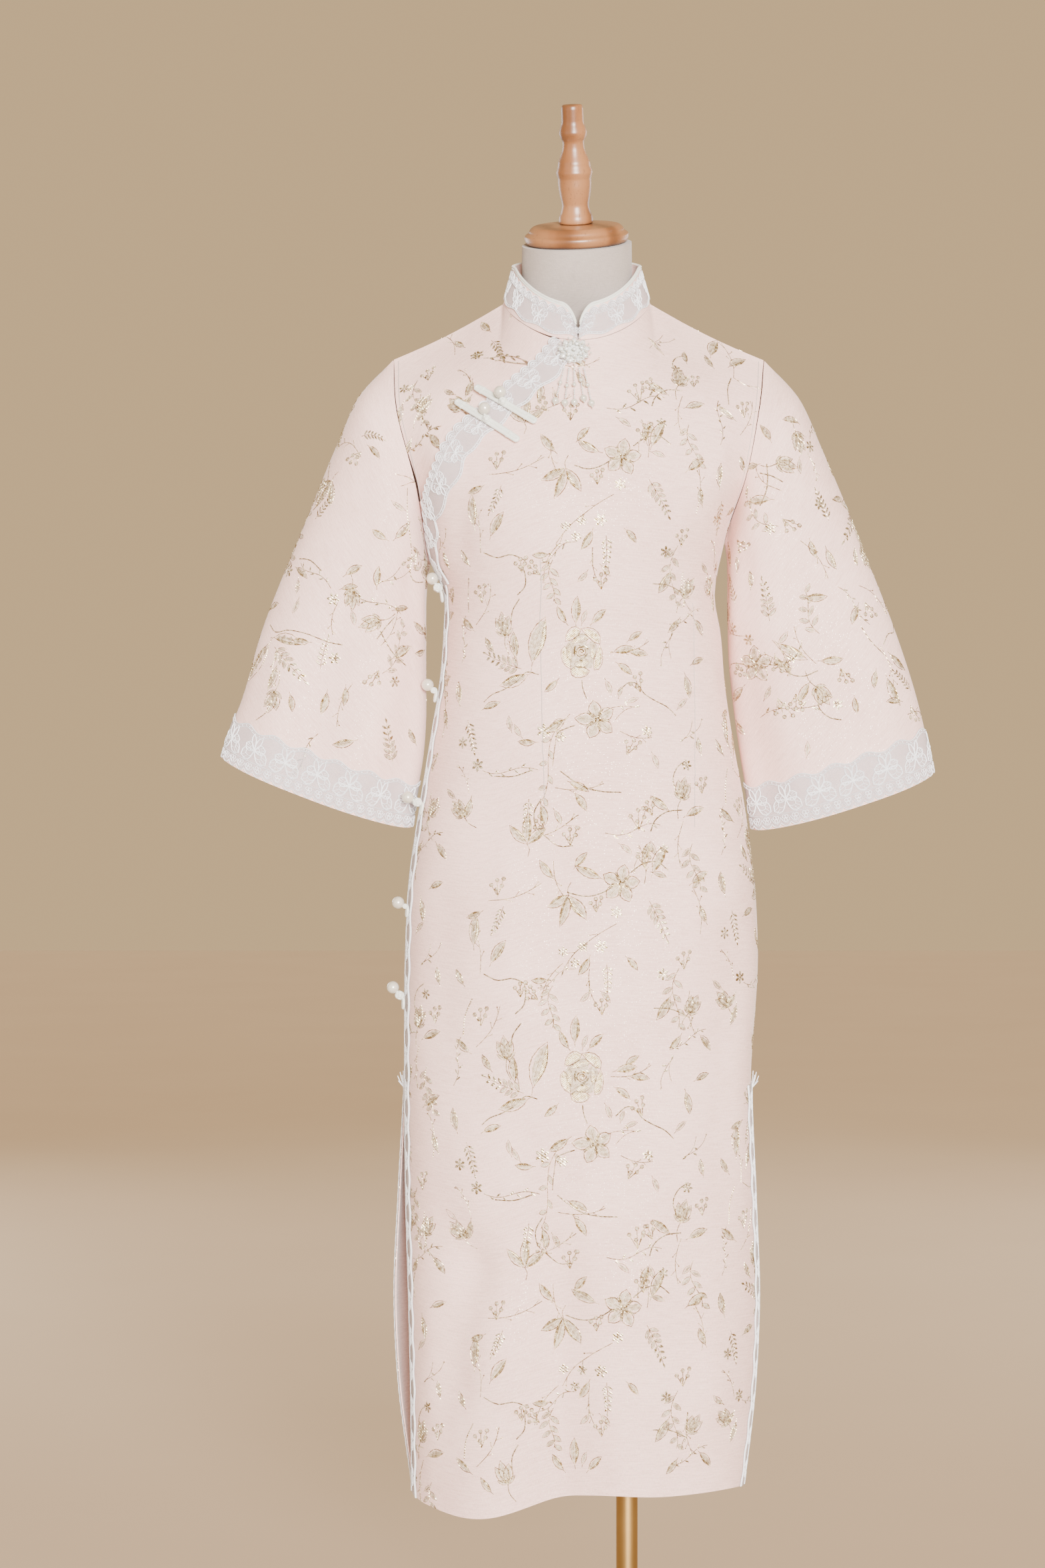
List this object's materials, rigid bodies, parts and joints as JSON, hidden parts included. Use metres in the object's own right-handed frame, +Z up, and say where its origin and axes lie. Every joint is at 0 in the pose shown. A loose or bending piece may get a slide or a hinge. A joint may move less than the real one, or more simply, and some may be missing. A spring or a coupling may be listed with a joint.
{
  "type": "cheongsam-style ao dai dress on a dress form",
  "caption": "Midi dress with stand collar, curved side placket, bell sleeves and lace trim, worn by a limbless dress form on a round base.",
  "frame": {"origin": "centre of the part's box on the floor, under the neck of the dress form", "axes": "+Z up, the front of the dress faces -Y, the wearer's right is at -X"},
  "size_m": [0.7115, 0.32, 1.6104],
  "materials": {
    "cloth": "woven jacquard with metallic thread",
    "lace": "embroidered tulle",
    "satin_cord": "satin piping",
    "pearl": "pearl lustre",
    "crystal": "milky faceted beads",
    "linen": "stretched linen",
    "wood": "clear gloss",
    "brass": "satin"
  },
  "bodies": {
    "root": {"front_panel": "cloth", "front_underlap": "cloth", "back_panel": "cloth", "sleeve_right": "cloth", "sleeve_left": "cloth", "collar": "cloth", "collar_lace": "lace", "placket_lace": "lace", "right_edge_lace": "lace", "left_slit_lace_front": "lace", "right_slit_lace_back": "lace", "left_slit_lace_back": "lace", "cuff_lace_right": "lace", "cuff_lace_left": "lace", "frog_cord_1": "satin_cord", "frog_cord_2": "satin_cord", "side_cord_1": "satin_cord", "side_cord_2": "satin_cord", "side_cord_3": "satin_cord", "side_cord_4": "satin_cord", "side_cord_5": "satin_cord", "frog_pearl_1": "pearl", "frog_pearl_2": "pearl", "side_pearl_1": "pearl", "side_pearl_2": "pearl", "side_pearl_3": "pearl", "side_pearl_4": "pearl", "side_pearl_5": "pearl", "brooch_rosette": "crystal", "brooch_tassel": "crystal", "form_torso": "linen", "form_cap": "wood", "form_finial": "wood", "form_pole": "brass", "form_socket": "brass", "form_base": "brass"}
  },
  "joints": []
}
